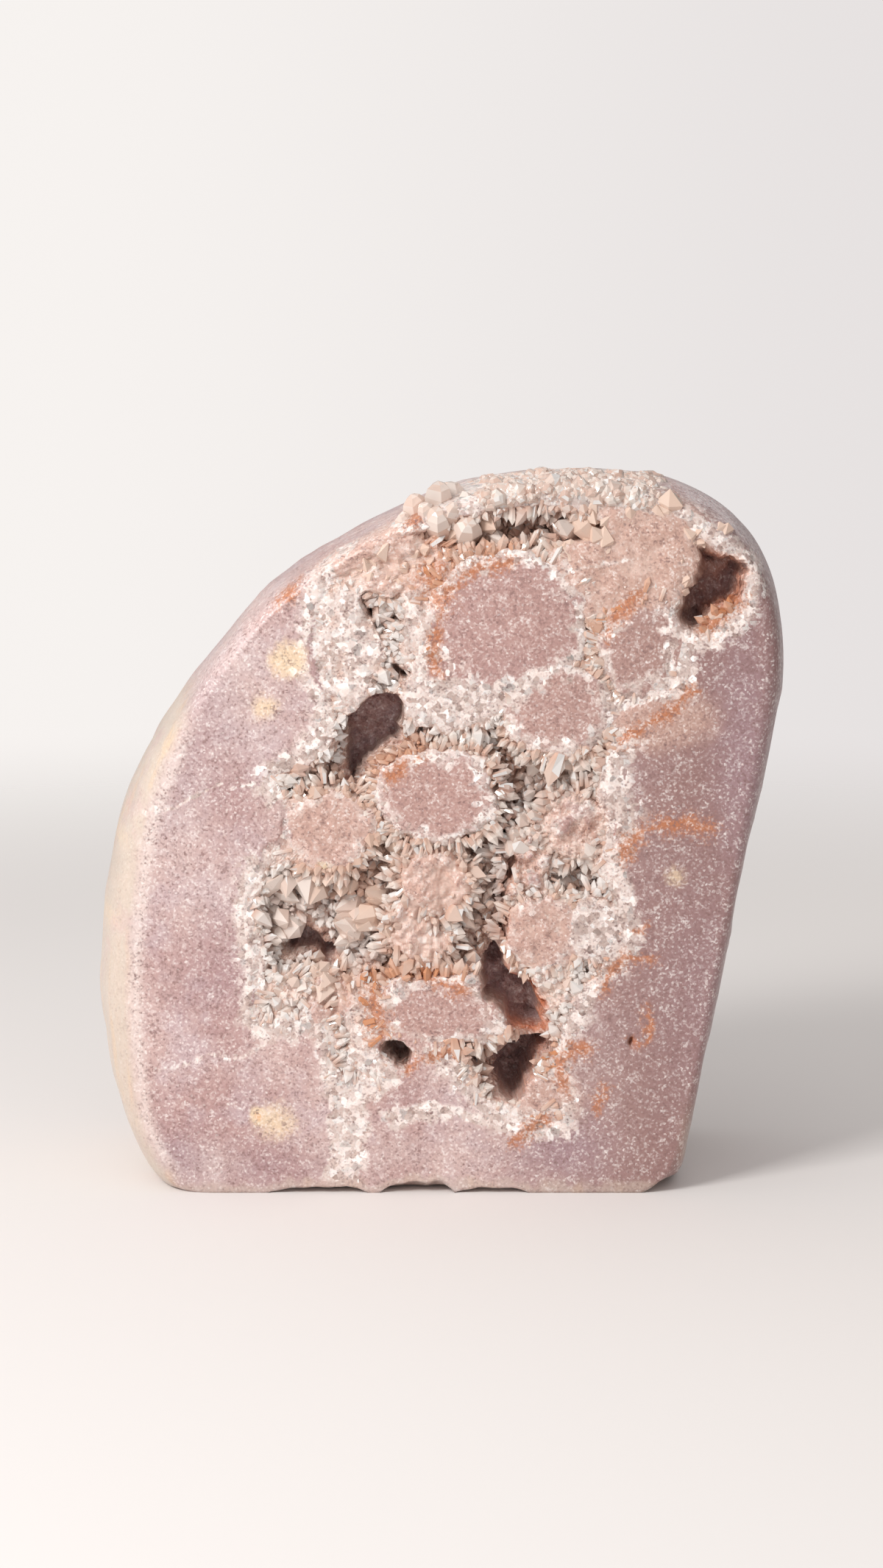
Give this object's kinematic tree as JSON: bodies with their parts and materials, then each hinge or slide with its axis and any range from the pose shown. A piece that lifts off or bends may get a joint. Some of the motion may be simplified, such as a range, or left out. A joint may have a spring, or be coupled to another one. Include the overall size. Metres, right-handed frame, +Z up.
{
  "type": "mineral specimen",
  "caption": "Polished freeform slab of rosy quartz that stands on its cut foot, with round nodules and crystal-lined hollows in its front face.",
  "frame": {"origin": "middle of the foot, on the surface that the stone stands on", "axes": "+Z up along the standing height, the front face with its hollows looks along -Y, +X to the right as seen from the front"},
  "size_m": [0.1066, 0.0478, 0.11],
  "materials": {
    "rose_stone": "polished",
    "quartz_crystal": "natural faces"
  },
  "bodies": {
    "root": {"stone": "rose_stone", "crystal_crust": "quartz_crystal"}
  },
  "joints": []
}
